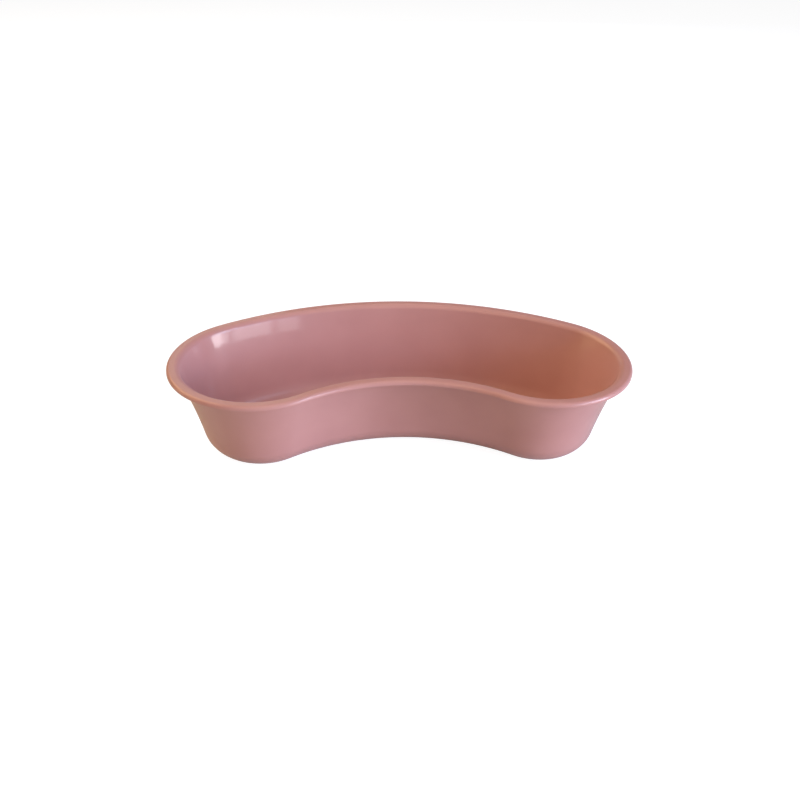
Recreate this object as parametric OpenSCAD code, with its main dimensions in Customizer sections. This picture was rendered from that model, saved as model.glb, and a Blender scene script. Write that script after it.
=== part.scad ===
// Kidney dish: a bean-shaped basin moulded in one shot, with a flat floor, leaning walls and a
// narrow outward rim. Seen from above it is a band of constant width, bent round an arc and
// closed by a half circle at each end, so every section across the band is the same.
//
// The dish is one moulding. Its regions are drawn as separate solids that meet face to face on
// flat stretches: the floor, the heel that turns up into the wall, the wall, and the rim.
//
// Origin: centre of the base. +X runs along the length, +Y to the convex back, +Z up.

/* [Outline] */
// Overall length, over the rim
length = 254; // [214:1:300]
// Width of the bean-shaped band, over the rim
band_width = 98.5; // [84:0.5:110]
// Radius of the arc that the middle of the band follows
bend_radius = 140; // [115:0.5:220]

/* [Height and wall] */
// Overall height
height = 54; // [42:0.5:66]
// Thickness of the floor, the wall and the rim
wall = 1.8; // [1.6:0.1:2.6]
// Outer radius of the heel, where the floor turns up into the wall
heel_radius = 16; // [6:0.5:18]
// How far the wall leans out from vertical at its foot, in degrees
foot_lean = 11; // [5:0.5:14]
// How far it leans out just under the rim, in degrees: the wall flares gently in between
mouth_lean = 19; // [15:0.5:24]

/* [Rim] */
// How far the rim stands out past the wall
rim_reach = 5.1; // [4.3:0.1:8]
// Radius at the mouth, where the rim turns down into the hollow
mouth_radius = 3.5; // [0.5:0.1:3.5]
// Radius along the top of the rim's outer edge
edge_radius = 1.9; // [0.5:0.1:1.9]
// How far the lip along the rim's outer edge hangs below the rim's underside
lip_drop = 0.8; // [0.7:0.1:1.5]

/* [Hidden] */

$fn = 180;
PINK = [0.80, 0.61, 0.63];

// Half the band's width is also the radius of each rounded end
half_band = band_width / 2;
// Angle at the bend's centre from the middle of the dish to the middle of a rounded end
half_sweep = asin((length / 2 - half_band) / bend_radius);
// Y of the bend's centre, with the outline centred on the origin
bend_y = -bend_radius * (1 + cos(half_sweep)) / 2;

// Degrees that the bend runs past the middle of the dish before it is trimmed there
overrun = 4;
// Flat stretch between a curve and the place where two regions meet
land = 2;
// Radius where the outer face of the wall turns out under the rim
root_radius = 1.5;
// Radius along the lower side of the lip
under_edge_radius = 0.4;
// How wide the lip is at its top: its inner side slopes at 45 degrees down to its lower side
lip_width = 2.2;
// Steps round the heel, up the wall, and round each small radius of the rim
HEEL_STEPS = 10;
WALL_STEPS = 6;
RIM_STEPS = 4;

// The wall is one arc from the heel to the rim, and flare is the radius of its outer face
under_z = height - wall;
foot_z = heel_radius * (1 - sin(foot_lean));
flare = (under_z - foot_z) / (sin(mouth_lean) - sin(foot_lean));
// Centre of that arc, outside the dish: its distance from the middle of the band, and its height
flare_u = half_band - rim_reach + flare * cos(mouth_lean);
flare_z = foot_z - flare * sin(foot_lean);
// Centre of the heel's curves, which both its faces share, at the height of heel_radius
heel_u = flare_u - (flare + heel_radius) * cos(foot_lean);

// Distance from the middle of the band to an arc of radius r about the flare's centre
function flared(r, z) = flare_u - sqrt(r * r - (z - flare_z) * (z - flare_z));
function outer_face(z) = flared(flare, z);
function inner_face(z) = flared(flare + wall, z);
// Lean of such an arc at height z
function lean_at(r, z) = asin((z - flare_z) / r);

// Where the floor meets the heel, and the heights where the heel, the wall and the rim meet
floor_u = heel_u - land;
wall_z = heel_radius - (heel_radius - wall) * sin(foot_lean) + land;
rim_z = under_z - root_radius - land;

// Points along an arc about [u, z], from one angle to another
function arc(u, z, r, from, to, steps) = [
    for (i = [0 : steps])
        let (a = from + (to - from) * i / steps)
            [u + r * cos(a), z + r * sin(a)]
];

function flipped(section) = [for (p = section) [-p[0], p[1]]];

// A section carried along the back, round both ends and along the hollow front. Its points are
// [distance from the middle of the band, height].
module around_band(section) {
    whole_dish() {
        along_bend(section);
        along_bend(flipped(section));
        round_end(section);
    }
}

// Both sides of the dish, from children that draw its +X side turned back so that the flat
// start of the rounded end lies on X = 0. The bend runs on past the middle of the dish and is
// trimmed there, so the two sides meet on a true plane.
module whole_dish() {
    translate([0, bend_y, 0])
        for (side = [0, 1])
            mirror([side, 0, 0])
                intersection() {
                    rotate([0, 0, -half_sweep])
                        union() {
                            children();
                        }
                    translate([0, 0, -height])
                        cube([length, 2 * length, 3 * height]);
                }
}

module along_bend(section) {
    rotate([0, 0, 90])
        rotate_extrude(angle = half_sweep + overrun)
            translate([bend_radius, 0])
                polygon(section);
}

module round_end(section) {
    translate([0, bend_radius, 0])
        rotate([0, 0, -90])
            rotate_extrude(angle = 180)
                polygon(section);
}

module floor() {
    half = [[0, 0], [floor_u, 0], [floor_u, wall], [0, wall]];
    across = concat(half, [[-floor_u, wall], [-floor_u, 0]]);
    color(PINK)
        whole_dish() {
            along_bend(across);
            round_end(half);
        }
}

module heel() {
    section = concat(
        [[floor_u, 0]],
        arc(heel_u, heel_radius, heel_radius, -90, -foot_lean, HEEL_STEPS),
        [[outer_face(wall_z), wall_z], [inner_face(wall_z), wall_z]],
        arc(heel_u, heel_radius, heel_radius - wall, -foot_lean, -90, HEEL_STEPS),
        [[floor_u, wall]]
    );
    color(PINK)
        around_band(section);
}

module side_wall() {
    up = [for (i = [0 : WALL_STEPS]) wall_z + (rim_z - wall_z) * i / WALL_STEPS];
    section = concat(
        [for (z = up) [outer_face(z), z]],
        [for (i = [WALL_STEPS : -1 : 0]) [inner_face(up[i]), up[i]]]
    );
    color(PINK)
        around_band(section);
}

module rim() {
    root_z = under_z - root_radius;
    root_r = flare - root_radius;
    lip_z = under_z - lip_drop;
    lip_u = half_band - lip_width;
    mouth_z = height - mouth_radius;
    mouth_r = flare + wall - mouth_radius;
    section = concat(
        [[inner_face(rim_z), rim_z], [outer_face(rim_z), rim_z]],
        arc(flared(root_r, root_z), root_z, root_radius,
            180 - lean_at(root_r, root_z), 90, RIM_STEPS),
        [[lip_u, under_z], [lip_u + lip_drop, lip_z]],
        arc(half_band - under_edge_radius, lip_z + under_edge_radius,
            under_edge_radius, -90, 0, RIM_STEPS),
        arc(half_band - edge_radius, height - edge_radius, edge_radius, 0, 90, RIM_STEPS),
        arc(flared(mouth_r, mouth_z), mouth_z, mouth_radius,
            90, 180 - lean_at(mouth_r, mouth_z), RIM_STEPS)
    );
    color(PINK)
        around_band(section);
}

floor();
heel();
side_wall();
rim();
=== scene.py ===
"""The looks of a kidney dish: a bean-shaped basin moulded in one shot from dusty pink plastic.

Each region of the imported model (floor, heel, side wall, rim) is drawn again here at full
smoothness, from the same cross-section carried round the same outline. The regions meet on
gentle stretches and share one plastic, so they read as the single moulding that they are.
Everything is in metres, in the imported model's frame.
"""

import math

import bmesh
import bpy
from mathutils import Matrix, Vector


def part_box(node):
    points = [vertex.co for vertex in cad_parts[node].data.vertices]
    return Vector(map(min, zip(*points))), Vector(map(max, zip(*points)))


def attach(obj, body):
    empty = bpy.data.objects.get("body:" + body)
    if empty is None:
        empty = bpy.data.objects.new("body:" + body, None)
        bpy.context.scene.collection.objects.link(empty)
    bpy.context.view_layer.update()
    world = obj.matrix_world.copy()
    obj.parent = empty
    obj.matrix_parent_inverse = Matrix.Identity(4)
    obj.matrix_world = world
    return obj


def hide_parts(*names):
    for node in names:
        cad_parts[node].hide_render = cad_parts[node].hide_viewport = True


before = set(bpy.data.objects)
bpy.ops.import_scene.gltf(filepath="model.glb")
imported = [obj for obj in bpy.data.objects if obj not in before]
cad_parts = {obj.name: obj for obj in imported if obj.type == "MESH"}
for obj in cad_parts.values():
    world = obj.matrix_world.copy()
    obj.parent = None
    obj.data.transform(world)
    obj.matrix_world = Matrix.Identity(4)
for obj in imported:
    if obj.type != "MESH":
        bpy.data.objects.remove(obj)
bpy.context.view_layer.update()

MM = 0.001

# Driving dimensions of the outline, the wall and the rim, as the CAD has them
LENGTH = 254 * MM
BAND_WIDTH = 98.5 * MM
BEND_RADIUS = 140 * MM
HEEL_RADIUS = 16 * MM
FOOT_LEAN = math.radians(11)
MOUTH_LEAN = math.radians(19)
RIM_REACH = 5.1 * MM
MOUTH_RADIUS = 3.5 * MM
EDGE_RADIUS = 1.9 * MM
UNDER_EDGE_RADIUS = 0.4 * MM
LIP_DROP = 0.8 * MM
LIP_WIDTH = 2.2 * MM
ROOT_RADIUS = 1.5 * MM
LAND = 2.0 * MM

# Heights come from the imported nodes
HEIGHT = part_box("rim")[1].z
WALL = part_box("floor")[1].z
WALL_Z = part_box("heel")[1].z
RIM_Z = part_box("rim")[0].z

# The outline: a band bent round an arc, with half circles at its ends
HALF_BAND = BAND_WIDTH / 2
HALF_SWEEP = math.asin((LENGTH / 2 - HALF_BAND) / BEND_RADIUS)
BEND_CENTRE = Vector((0, -BEND_RADIUS * (1 + math.cos(HALF_SWEEP)) / 2))

# The wall: one arc between the heel and the rim
UNDER_Z = HEIGHT - WALL
FOOT_Z = HEEL_RADIUS * (1 - math.sin(FOOT_LEAN))
FLARE = (UNDER_Z - FOOT_Z) / (math.sin(MOUTH_LEAN) - math.sin(FOOT_LEAN))
FLARE_U = HALF_BAND - RIM_REACH + FLARE * math.cos(MOUTH_LEAN)
FLARE_Z = FOOT_Z - FLARE * math.sin(FOOT_LEAN)
HEEL_U = FLARE_U - (FLARE + HEEL_RADIUS) * math.cos(FOOT_LEAN)
FLOOR_U = HEEL_U - LAND

# How finely the meshes are drawn
BEND_STEPS = 72
END_STEPS = 96
HEEL_STEPS = 24
WALL_STEPS = 16
ROUND_STEPS = 10
GUARD = 0.12 * MM    # distance of the extra points that keep a flat face flat next to a curve
CREASE_ANGLE = math.radians(40)


# ---------------------------------------------------------------- outline and cross-section

def direction(heading):
    """Unit vector in plan, at an angle clockwise from +Y."""
    return Vector((math.sin(heading), math.cos(heading)))


def outline_stations():
    """Places round the outline as (point on the middle of the band, outward direction)."""
    stations = []

    def along_bend(start, end, outward):
        for i in range(BEND_STEPS):
            facing = direction(start + (end - start) * i / BEND_STEPS)
            stations.append((BEND_CENTRE + BEND_RADIUS * facing, outward * facing))

    def round_end(side, start):
        centre = BEND_CENTRE + BEND_RADIUS * direction(side * HALF_SWEEP)
        for i in range(END_STEPS):
            stations.append((centre, direction(start + math.pi * i / END_STEPS)))

    along_bend(-HALF_SWEEP, HALF_SWEEP, 1)
    round_end(1, HALF_SWEEP)
    along_bend(HALF_SWEEP, -HALF_SWEEP, -1)
    round_end(-1, math.pi - HALF_SWEEP)
    return stations


def arc(u, z, radius, start, end, steps):
    """Points [distance from the middle of the band, height] on an arc, angles in radians."""
    angles = [start + (end - start) * i / steps for i in range(steps + 1)]
    return [(u + radius * math.cos(a), z + radius * math.sin(a)) for a in angles]


def guarded(section):
    """A closed section with extra points close to the ends of its longer straight stretches."""
    points = []
    for (u, z), (next_u, next_z) in zip(section, section[1:] + section[:1]):
        points.append((u, z))
        span = math.hypot(next_u - u, next_z - z)
        if span > 4 * GUARD:
            for t in (GUARD / span, 1 - GUARD / span):
                points.append((u + (next_u - u) * t, z + (next_z - z) * t))
    return points


def flared(radius, z):
    """Distance from the middle of the band to an arc about the flare's centre, at height z."""
    return FLARE_U - math.sqrt(radius ** 2 - (z - FLARE_Z) ** 2)


def lean_at(radius, z):
    """Lean of such an arc at height z."""
    return math.asin((z - FLARE_Z) / radius)


def wall_face(radius, low, high):
    """Points up one face of the wall, between two heights."""
    heights = [low + (high - low) * i / WALL_STEPS for i in range(WALL_STEPS + 1)]
    return [(flared(radius, z), z) for z in heights]


def heel_section():
    """The curve from the floor up into the foot of the wall."""
    down = -math.pi / 2
    outer = arc(HEEL_U, HEEL_RADIUS, HEEL_RADIUS, down, -FOOT_LEAN, HEEL_STEPS)
    inner = arc(HEEL_U, HEEL_RADIUS, HEEL_RADIUS - WALL, -FOOT_LEAN, down, HEEL_STEPS)
    top = [(flared(FLARE, WALL_Z), WALL_Z), (flared(FLARE + WALL, WALL_Z), WALL_Z)]
    return guarded([(FLOOR_U, 0), *outer, *top, *inner, (FLOOR_U, WALL)])


def wall_section():
    """The leaning, gently flared wall between the heel and the rim."""
    outer = wall_face(FLARE, WALL_Z, RIM_Z)
    inner = wall_face(FLARE + WALL, RIM_Z, WALL_Z)
    return outer + inner


def rim_section():
    """The rim with the top of the wall: root, lip, upper edge and mouth are rounded."""
    half_turn, quarter = math.pi, math.pi / 2
    root_z = UNDER_Z - ROOT_RADIUS
    root_r = FLARE - ROOT_RADIUS
    mouth_z = HEIGHT - MOUTH_RADIUS
    mouth_r = FLARE + WALL - MOUTH_RADIUS
    root = arc(flared(root_r, root_z), root_z, ROOT_RADIUS,
               half_turn - lean_at(root_r, root_z), quarter, ROUND_STEPS)
    lip_z = UNDER_Z - LIP_DROP
    lip_slope = [(HALF_BAND - LIP_WIDTH, UNDER_Z), (HALF_BAND - LIP_WIDTH + LIP_DROP, lip_z)]
    lower_edge = arc(HALF_BAND - UNDER_EDGE_RADIUS, lip_z + UNDER_EDGE_RADIUS,
                     UNDER_EDGE_RADIUS, -quarter, 0, ROUND_STEPS)
    upper_edge = arc(HALF_BAND - EDGE_RADIUS, HEIGHT - EDGE_RADIUS,
                     EDGE_RADIUS, 0, quarter, ROUND_STEPS)
    mouth = arc(flared(mouth_r, mouth_z), mouth_z, MOUTH_RADIUS,
                quarter, half_turn - lean_at(mouth_r, mouth_z), ROUND_STEPS)
    foot = [(flared(FLARE + WALL, RIM_Z), RIM_Z), (flared(FLARE, RIM_Z), RIM_Z)]
    return guarded([*foot, *root, *lip_slope, *lower_edge, *upper_edge, *mouth])


# ---------------------------------------------------------------- meshes

STATIONS = outline_stations()


def place(station, u, z):
    """A point of the cross-section, set at one place round the outline."""
    point, outward = station
    plan = point + u * outward
    return (plan.x, plan.y, z)


def ring_of_vertices(bm, u, z):
    return [bm.verts.new(place(s, u, z)) for s in STATIONS]


def join_rings(bm, lower, upper):
    for i in range(len(lower)):
        following = (i + 1) % len(lower)
        bm.faces.new((lower[i], lower[following], upper[following], upper[i]))


def finish_mesh(bm, name):
    """Makes the object: outward normals, smooth faces, and a crease only at real corners."""
    bmesh.ops.recalc_face_normals(bm, faces=bm.faces)
    mesh = bpy.data.meshes.new(name)
    bm.to_mesh(mesh)
    bm.free()
    mesh.shade_smooth()
    mesh.set_sharp_from_angle(angle=CREASE_ANGLE)
    piece = bpy.data.objects.new(name, mesh)
    bpy.context.scene.collection.objects.link(piece)
    return piece


def swept(name, section):
    """A closed section carried once round the outline."""
    bm = bmesh.new()
    rings = [ring_of_vertices(bm, u, z) for u, z in section]
    for lower, upper in zip(rings, rings[1:] + rings[:1]):
        join_rings(bm, lower, upper)
    return finish_mesh(bm, name)


# The mark of the gate where the plastic came in: a shallow round recess under the floor with
# the trimmed stub of plastic at its centre. Points are (distance from its axis, height).
GATE_CENTRE = BEND_CENTRE + BEND_RADIUS * direction(0)
GATE_STEPS = 64
GATE_PROFILE = [
    (5.00 * MM, 0.00 * MM), (4.90 * MM, 0.03 * MM), (4.75 * MM, 0.20 * MM), (4.60 * MM, 0.33 * MM),
    (4.40 * MM, 0.36 * MM), (1.60 * MM, 0.36 * MM), (1.45 * MM, 0.33 * MM), (1.35 * MM, 0.20 * MM),
    (1.25 * MM, 0.12 * MM), (1.05 * MM, 0.10 * MM), (0.40 * MM, 0.13 * MM),
]


def flat_fill(bm, edges, normal):
    """Fills the flat area between closed loops of edges."""
    bmesh.ops.triangle_fill(bm, use_beauty=True, use_dissolve=False, edges=edges, normal=normal)


def ring_edges(bm, ring):
    return [bm.edges.get((a, b)) or bm.edges.new((a, b)) for a, b in zip(ring, ring[1:] + ring[:1])]


def floor_plate():
    """The flat floor between the heels, with the gate's mark underneath."""
    bm = bmesh.new()
    bottom = ring_of_vertices(bm, FLOOR_U, 0)
    top = ring_of_vertices(bm, FLOOR_U, WALL)
    join_rings(bm, bottom, top)
    turn = [2 * math.pi * i / GATE_STEPS for i in range(GATE_STEPS)]
    gate = []
    for radius, z in GATE_PROFILE:
        gate.append([bm.verts.new((GATE_CENTRE.x + radius * math.cos(a),
                                   GATE_CENTRE.y + radius * math.sin(a), z)) for a in turn])
    for outer, inner in zip(gate, gate[1:]):
        join_rings(bm, outer, inner)
    bm.faces.new(gate[-1])
    flat_fill(bm, ring_edges(bm, bottom) + ring_edges(bm, gate[0]), (0, 0, -1))
    flat_fill(bm, ring_edges(bm, top), (0, 0, 1))
    return finish_mesh(bm, "dish_floor")


# ---------------------------------------------------------------- plastic

PINK = (0.560, 0.298, 0.298, 1)
PINK_PALE = (0.592, 0.322, 0.322, 1)
SCUFFED = (0.680, 0.440, 0.430, 1)
PLASTIC_IOR = 1.49
SPECULAR_LEVEL = 0.3
GLOSS_WEIGHT = 0.6        # of the clear, sharp part of the reflections
GLOSS_ROUGHNESS = 0.08
HAZE_ROUGHNESS = 0.34     # of the soft part, from the fine texture of the mould

# The stretch of its range where nearly all of a noise lies
NOISE_LOW = 0.35
NOISE_HIGH = 0.65

# How fine each pattern is: features per metre
MOTTLE_SCALE = 30
FLOW_SCALE = 48
SMUDGE_SCALE = 55
DRAW_MARK_SCALE = 420
GRAIN_SCALE = 1600
HAIRLINE_SCALE = 1300
HAIRLINE_PATCH_SCALE = 60
RUBBED_SCALE = 700
RUBBED_PATCH_SCALE = 90

# How deep each pattern is in the surface
FLOW_DEPTH = 0.03 * MM
DRAW_MARK_DEPTH = 0.003 * MM
GRAIN_DEPTH = 0.002 * MM
HAIRLINE_DEPTH = 0.004 * MM

# How much each pattern changes the haze's roughness, and rubbing the colour
SMUDGE_HAZE = 0.03
DRAW_MARK_HAZE = 0.02
RUBBED_HAZE = 0.15
RUBBED_COLOUR = 0.5


class Recipe:
    """Small helpers that add texture nodes to one material and wire them up."""

    def __init__(self, name):
        self.material = bpy.data.materials.new(name)
        self.material.use_nodes = True
        self.nodes = self.material.node_tree.nodes
        self.links = self.material.node_tree.links
        self.shader = self.nodes["Principled BSDF"]
        self.where = self.nodes.new("ShaderNodeTexCoord").outputs["Object"]
        split = self.nodes.new("ShaderNodeSeparateXYZ")
        self.links.new(self.where, split.inputs[0])
        self.height = split.outputs["Z"]

    def pattern(self, scale, detail, roughness=0.5, stretch=(1, 1, 1), turn=0.0, distortion=0.0):
        """Noise from 0 to 1, of about 1 / scale metres; a small stretch draws it out that way."""
        mapping = self.nodes.new("ShaderNodeMapping")
        mapping.inputs["Rotation"].default_value = (0, 0, turn)
        mapping.inputs["Scale"].default_value = stretch
        self.links.new(self.where, mapping.inputs["Vector"])
        texture = self.nodes.new("ShaderNodeTexNoise")
        texture.inputs["Scale"].default_value = scale
        texture.inputs["Detail"].default_value = detail
        texture.inputs["Roughness"].default_value = roughness
        texture.inputs["Distortion"].default_value = distortion
        self.links.new(mapping.outputs["Vector"], texture.inputs["Vector"])
        return texture.outputs["Fac"]

    def fade(self, value, start, end, low=0.0, high=1.0):
        """Maps start..end to low..high, and holds both ends."""
        node = self.nodes.new("ShaderNodeMapRange")
        self.links.new(value, node.inputs["Value"])
        node.inputs["From Min"].default_value = start
        node.inputs["From Max"].default_value = end
        node.inputs["To Min"].default_value = low
        node.inputs["To Max"].default_value = high
        return node.outputs["Result"]

    def feed(self, value, socket):
        """Sets a socket to a number or a colour, or links another node's output to it."""
        if isinstance(value, (int, float, tuple)):
            socket.default_value = value
        else:
            self.links.new(value, socket)

    def maths(self, operation, a, b):
        node = self.nodes.new("ShaderNodeMath")
        node.operation = operation
        self.feed(a, node.inputs[0])
        self.feed(b, node.inputs[1])
        return node.outputs[0]

    def colours(self, factor, a, b):
        """Colour a where the factor is 0 and colour b where it is 1."""
        node = self.nodes.new("ShaderNodeMix")
        node.data_type = "RGBA"
        self.links.new(factor, node.inputs["Factor"])
        self.feed(a, node.inputs[6])
        self.feed(b, node.inputs[7])
        return node.outputs[2]

    def bump(self, height, distance, under=None):
        """Relief of a real depth, laid over the relief under it."""
        node = self.nodes.new("ShaderNodeBump")
        node.inputs["Strength"].default_value = 1.0
        node.inputs["Distance"].default_value = distance
        self.links.new(height, node.inputs["Height"])
        if under:
            self.links.new(under, node.inputs["Normal"])
        return node.outputs["Normal"]


def scratches(recipe):
    """Fine hairlines on the floor of the basin, in three directions and in loose patches."""
    total = 0.0
    for turn in (0.4, 1.5, 2.6):
        lines = recipe.pattern(HAIRLINE_SCALE, 1, stretch=(1, 0.012, 1), turn=turn, distortion=0.15)
        hair = recipe.fade(lines, 0.66, 0.72)
        patch = recipe.fade(recipe.pattern(HAIRLINE_PATCH_SCALE, 1, turn=turn), 0.50, 0.62)
        total = recipe.maths("ADD", recipe.maths("MULTIPLY", hair, patch), total)
    low_down = recipe.fade(recipe.height, WALL + 1 * MM, WALL + 4 * MM, 1, 0)
    return recipe.maths("MULTIPLY", total, low_down)


def wear(recipe):
    """Where the dish gets rubbed: under its foot and along the upper edge of its rim."""
    broken = recipe.fade(recipe.pattern(RUBBED_SCALE, 4, roughness=0.7), 0.45, 0.70)
    foot = recipe.fade(recipe.height, 0.02 * MM, 0.5 * MM, 1, 0)
    patches = recipe.fade(recipe.pattern(RUBBED_PATCH_SCALE, 2), 0.45, 0.65)
    crest = recipe.fade(recipe.height, HEIGHT - 0.9 * MM, HEIGHT - 0.1 * MM, 0, 0.35)
    edge = recipe.maths("MULTIPLY", crest, patches)
    return recipe.maths("MULTIPLY", recipe.maths("MAXIMUM", foot, edge), broken)


def moulded_pink():
    """Opaque satin polypropylene, as it comes from the mould, with light use marks."""
    recipe = Recipe("moulded_pink")
    shader = recipe.shader
    shader.inputs["IOR"].default_value = PLASTIC_IOR
    shader.inputs["Specular IOR Level"].default_value = SPECULAR_LEVEL
    shader.inputs["Coat Weight"].default_value = GLOSS_WEIGHT
    shader.inputs["Coat Roughness"].default_value = GLOSS_ROUGHNESS
    shader.inputs["Coat IOR"].default_value = PLASTIC_IOR

    worn = wear(recipe)
    hairlines = scratches(recipe)
    draw_marks = recipe.pattern(DRAW_MARK_SCALE, 2, stretch=(1, 1, 0.04))

    mottle = recipe.pattern(MOTTLE_SCALE, 3)
    colour = recipe.colours(recipe.fade(mottle, NOISE_LOW, NOISE_HIGH), PINK, PINK_PALE)
    colour = recipe.colours(recipe.maths("MULTIPLY", worn, RUBBED_COLOUR), colour, SCUFFED)
    recipe.links.new(colour, shader.inputs["Base Color"])

    smudges = recipe.pattern(SMUDGE_SCALE, 4, roughness=0.6)
    smudges = recipe.fade(smudges, NOISE_LOW, NOISE_HIGH, -SMUDGE_HAZE, SMUDGE_HAZE)
    streaks = recipe.fade(draw_marks, NOISE_LOW, NOISE_HIGH, -DRAW_MARK_HAZE, DRAW_MARK_HAZE)
    rubbed = recipe.maths("MAXIMUM", worn, hairlines)
    rubbed = recipe.fade(rubbed, 0, 1, HAZE_ROUGHNESS, HAZE_ROUGHNESS + RUBBED_HAZE)
    haze = recipe.maths("ADD", recipe.maths("ADD", smudges, streaks), rubbed)
    recipe.links.new(haze, shader.inputs["Roughness"])

    flow = recipe.pattern(FLOW_SCALE, 1)
    grain = recipe.pattern(GRAIN_SCALE, 2)
    surface = recipe.bump(flow, FLOW_DEPTH)
    surface = recipe.bump(draw_marks, DRAW_MARK_DEPTH, surface)
    surface = recipe.bump(grain, GRAIN_DEPTH, surface)
    surface = recipe.bump(recipe.maths("SUBTRACT", 0, hairlines), HAIRLINE_DEPTH, surface)
    recipe.links.new(surface, shader.inputs["Normal"])
    recipe.links.new(surface, shader.inputs["Coat Normal"])
    return recipe.material


# ---------------------------------------------------------------- the dish

def dress(piece, node, material):
    """Gives a piece its material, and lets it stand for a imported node."""
    piece.data.materials.append(material)
    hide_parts(node)
    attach(piece, "root")


PLASTIC = moulded_pink()
dress(floor_plate(), "floor", PLASTIC)
dress(swept("dish_heel", heel_section()), "heel", PLASTIC)
dress(swept("dish_side_wall", wall_section()), "side_wall", PLASTIC)
dress(swept("dish_rim", rim_section()), "rim", PLASTIC)


# ---------------------------------------------------------------- floor, light, camera

WHITE = (1, 1, 1, 1)
FLOOR_SIZE = 12.0
FLOOR_OPENING = 4 * MM    # how far the floor's opening runs out past the flat of the base
FLOOR_COLOUR = (0.68, 0.68, 0.68, 1)
FLOOR_ROUGHNESS = 0.9
FLOOR_SPECULAR_LEVEL = 0.1
BACKDROP_GLOW = 0.93      # what the camera sees of the floor even in full shadow
BACKDROP_SHADE = (0.26, 0.29, 0.36, 1)


def pale_floor():
    """White board, seen only from above.

    The dish gets the light that plain board throws back. To the camera the board is brighter,
    like an overexposed sweep, so that only a soft shadow shows on it.
    """
    material = bpy.data.materials.new("pale_floor")
    material.use_nodes = True
    nodes, links = material.node_tree.nodes, material.node_tree.links
    board = nodes["Principled BSDF"]
    board.inputs["Base Color"].default_value = FLOOR_COLOUR
    board.inputs["Roughness"].default_value = FLOOR_ROUGHNESS
    board.inputs["Specular IOR Level"].default_value = FLOOR_SPECULAR_LEVEL
    sweep = nodes.new("ShaderNodeBsdfPrincipled")
    sweep.inputs["Base Color"].default_value = BACKDROP_SHADE
    sweep.inputs["Roughness"].default_value = 1.0
    sweep.inputs["Specular IOR Level"].default_value = 0.0
    sweep.inputs["Emission Color"].default_value = WHITE
    sweep.inputs["Emission Strength"].default_value = BACKDROP_GLOW
    clear = nodes.new("ShaderNodeBsdfTransparent")
    below = nodes.new("ShaderNodeNewGeometry").outputs["Backfacing"]
    seen = nodes.new("ShaderNodeLightPath").outputs["Is Camera Ray"]
    surface = nodes.new("ShaderNodeMixShader")
    links.new(seen, surface.inputs["Fac"])
    links.new(board.outputs["BSDF"], surface.inputs[1])
    links.new(sweep.outputs["BSDF"], surface.inputs[2])
    whole = nodes.new("ShaderNodeMixShader")
    links.new(below, whole.inputs["Fac"])
    links.new(surface.outputs["Shader"], whole.inputs[1])
    links.new(clear.outputs["BSDF"], whole.inputs[2])
    links.new(whole.outputs["Shader"], nodes["Material Output"].inputs["Surface"])
    return material


def studio_floor():
    """A wide floor, open where the dish stands, so that light from below reaches the underside."""
    bm = bmesh.new()
    half = FLOOR_SIZE / 2
    corners = [(-half, -half), (half, -half), (half, half), (-half, half)]
    edge = [bm.verts.new((x, y, 0)) for x, y in corners]
    opening = ring_of_vertices(bm, HEEL_U + FLOOR_OPENING, 0)
    flat_fill(bm, ring_edges(bm, edge) + ring_edges(bm, opening), (0, 0, 1))
    mesh = bpy.data.meshes.new("studio_floor")
    bm.to_mesh(mesh)
    bm.free()
    mesh.materials.append(pale_floor())
    floor = bpy.data.objects.new("studio_floor", mesh)
    bpy.context.scene.collection.objects.link(floor)


def toward(azimuth, elevation):
    """Unit vector to a place seen from the dish; azimuth 0 is the front and 90 is +X."""
    a, e = math.radians(azimuth), math.radians(elevation)
    return Vector((math.sin(a) * math.cos(e), -math.cos(a) * math.cos(e), math.sin(e)))


def panel(name, centre, facing, width, height, colour, radiance):
    """A rectangle of light of an even radiance, turned to face a direction, hidden from view."""
    light = bpy.data.lights.new(name, "AREA")
    light.shape = "RECTANGLE"
    light.size = width
    light.size_y = height
    light.color = colour
    light.energy = radiance * width * height * math.pi
    lamp = bpy.data.objects.new(name, light)
    lamp.location = centre
    lamp.rotation_mode = "QUATERNION"
    lamp.rotation_quaternion = facing.to_track_quat("-Z", "Y")
    lamp.visible_camera = False
    bpy.context.scene.collection.objects.link(lamp)
    return lamp


DAYLIGHT = (0.64, 0.74, 1.0)
HORIZON_LIGHT = (0.98, 0.96, 1.0)
WINDOW_AZIMUTH = 50
WINDOW_DISTANCE = 1.6
# The window's bright areas: start and end along it, bottom and top in metres, colour, radiance
WINDOW_AREAS = {
    "pane_1": (0.30, 0.79, 0.00, 0.35, HORIZON_LIGHT, 13.5),
    "pane_1_edge": (0.07, 0.30, 0.00, 0.35, HORIZON_LIGHT, 6.5),
    "pane_1_sky": (0.07, 0.79, 0.35, 1.30, DAYLIGHT, 10.2),
    "pane_2": (-0.30, 0.02, 0.00, 0.35, HORIZON_LIGHT, 4.3),
    "pane_2_glare": (-0.30, 0.02, 0.35, 0.60, DAYLIGHT, 10.0),
    "pane_2_sky": (-0.30, 0.02, 0.60, 1.30, DAYLIGHT, 1.5),
    "pane_3": (-0.54, -0.35, 0.00, 0.35, HORIZON_LIGHT, 3.2),
    "pane_3_glare": (-0.54, -0.35, 0.35, 0.60, DAYLIGHT, 5.0),
}


def window():
    """Upright panes side by side, which light the dish from its front right."""
    out = toward(WINDOW_AZIMUTH, 0)
    along = Vector((-out.y, out.x, 0))
    for name, (near, far, bottom, top, colour, radiance) in WINDOW_AREAS.items():
        centre = out * WINDOW_DISTANCE + along * (near + far) / 2
        centre.z = (bottom + top) / 2
        panel(f"window_{name}", centre, -out, far - near, top - bottom, colour, radiance)


ROOM_LIGHT = (1.0, 0.71, 0.424)
BACK_LIGHT = (0.8, 1.0, 0.88)
ROOM_PANEL_DISTANCE = 1.8
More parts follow.
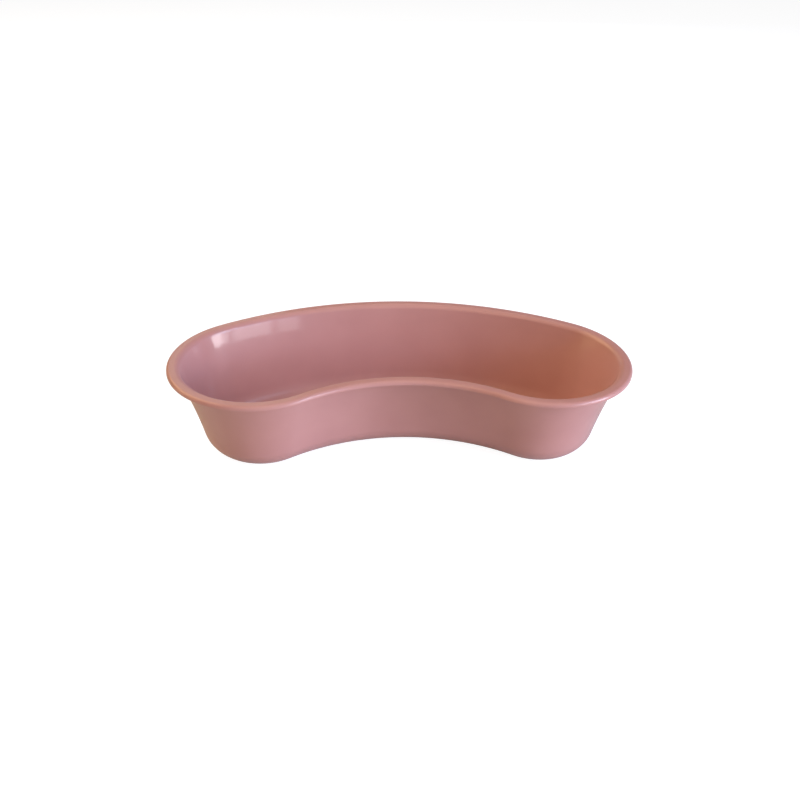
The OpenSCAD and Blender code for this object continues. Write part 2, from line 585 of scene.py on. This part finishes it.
# Soft square panels that stand for the light of the room: azimuth and elevation in degrees,
# size in metres, colour, radiance
ROOM_PANELS = {
    "back_left": (-120, 45, 1.3, ROOM_LIGHT, 3.0),
    "left": (-90, 20, 1.1, ROOM_LIGHT, 1.3),
    "front_left": (-55, 50, 1.2, ROOM_LIGHT, 0.25),
    "front": (0, 42, 1.8, ROOM_LIGHT, 0.88),
    "front_top": (0, 75, 1.4, ROOM_LIGHT, 0.70),
    "back_top": (180, 68, 0.8, BACK_LIGHT, 0.7),
    "back": (-158, 30, 0.8, BACK_LIGHT, 0.6),
}


def room_light():
    """Panels all round, at one distance, each facing the dish."""
    for name, (azimuth, elevation, size, colour, radiance) in ROOM_PANELS.items():
        centre = toward(azimuth, elevation) * ROOM_PANEL_DISTANCE
        panel(f"room_{name}", centre, -centre, size, size, colour, radiance)


UNDER_LIGHT = (1.0, 0.94, 0.90)
UNDER_LIGHT_RADIANCE = 1.8
UNDER_LIGHT_SIZE = 0.8
UNDER_LIGHT_DEPTH = 0.6


def under_light():
    """A panel below the floor, which only the underside of the dish sees."""
    centre = Vector((0, 0, -UNDER_LIGHT_DEPTH))
    panel("under_light", centre, -centre, UNDER_LIGHT_SIZE, UNDER_LIGHT_SIZE,
          UNDER_LIGHT, UNDER_LIGHT_RADIANCE)


FILL_LIGHT = (0.68, 0.80, 1.0)
FILL_RADIANCE = 3.2
FILL_SIZE = 1.3
FILL_AZIMUTH = -174
FILL_ELEVATION = 8


def back_fill():
    """A low panel behind the dish, which shows in no reflection and keeps the back a clear pink."""
    centre = toward(FILL_AZIMUTH, FILL_ELEVATION) * ROOM_PANEL_DISTANCE
    fill = panel("back_fill", centre, -centre, FILL_SIZE, FILL_SIZE, FILL_LIGHT, FILL_RADIANCE)
    fill.visible_glossy = False


ROOM_GLOW = 0.02


def backdrop():
    """Plain white all round for the camera, and a faint glow so that no side is black."""
    world = bpy.data.worlds.new("backdrop")
    world.use_nodes = True
    nodes, links = world.node_tree.nodes, world.node_tree.links
    glow = nodes["Background"]
    glow.inputs["Color"].default_value = (*ROOM_LIGHT, 1)
    glow.inputs["Strength"].default_value = ROOM_GLOW
    white = nodes.new("ShaderNodeBackground")
    white.inputs["Color"].default_value = WHITE
    seen = nodes.new("ShaderNodeLightPath").outputs["Is Camera Ray"]
    mix = nodes.new("ShaderNodeMixShader")
    links.new(seen, mix.inputs["Fac"])
    links.new(glow.outputs["Background"], mix.inputs[1])
    links.new(white.outputs["Background"], mix.inputs[2])
    links.new(mix.outputs["Shader"], nodes["World Output"].inputs["Surface"])
    bpy.context.scene.world = world


CAMERA_AZIMUTH = -3.573
CAMERA_ELEVATION = 32.467
CAMERA_ROLL = math.radians(1.342)
CAMERA_DISTANCE = 457.8 * MM
CAMERA_AIM = Vector((0.16 * MM, -2.06 * MM, 20 * MM))
CAMERA_LENS = 35.35
CAMERA_SENSOR_WIDTH = 36
CAMERA_NEAREST = 0.01
CAMERA_FARTHEST = 50


def camera():
    """The camera, off to the front and above, turned a little about its own axis."""
    data = bpy.data.cameras.new("camera")
    data.lens = CAMERA_LENS
    data.sensor_width = CAMERA_SENSOR_WIDTH
    data.clip_start = CAMERA_NEAREST
    data.clip_end = CAMERA_FARTHEST
    cam = bpy.data.objects.new("camera", data)
    back = toward(CAMERA_AZIMUTH, CAMERA_ELEVATION)
    right = (-back).cross(Vector((0, 0, 1))).normalized()
    up = right.cross(-back)
    rolled_right = right * math.cos(CAMERA_ROLL) + up * math.sin(CAMERA_ROLL)
    rolled_up = up * math.cos(CAMERA_ROLL) - right * math.sin(CAMERA_ROLL)
    turn = Matrix((rolled_right, rolled_up, back)).transposed()
    cam.matrix_world = Matrix.Translation(CAMERA_AIM + back * CAMERA_DISTANCE) @ turn.to_4x4()
    bpy.context.scene.collection.objects.link(cam)
    bpy.context.scene.camera = cam


studio_floor()
window()
room_light()
under_light()
back_fill()
backdrop()
camera()
bpy.context.scene.view_settings.view_transform = "Standard"
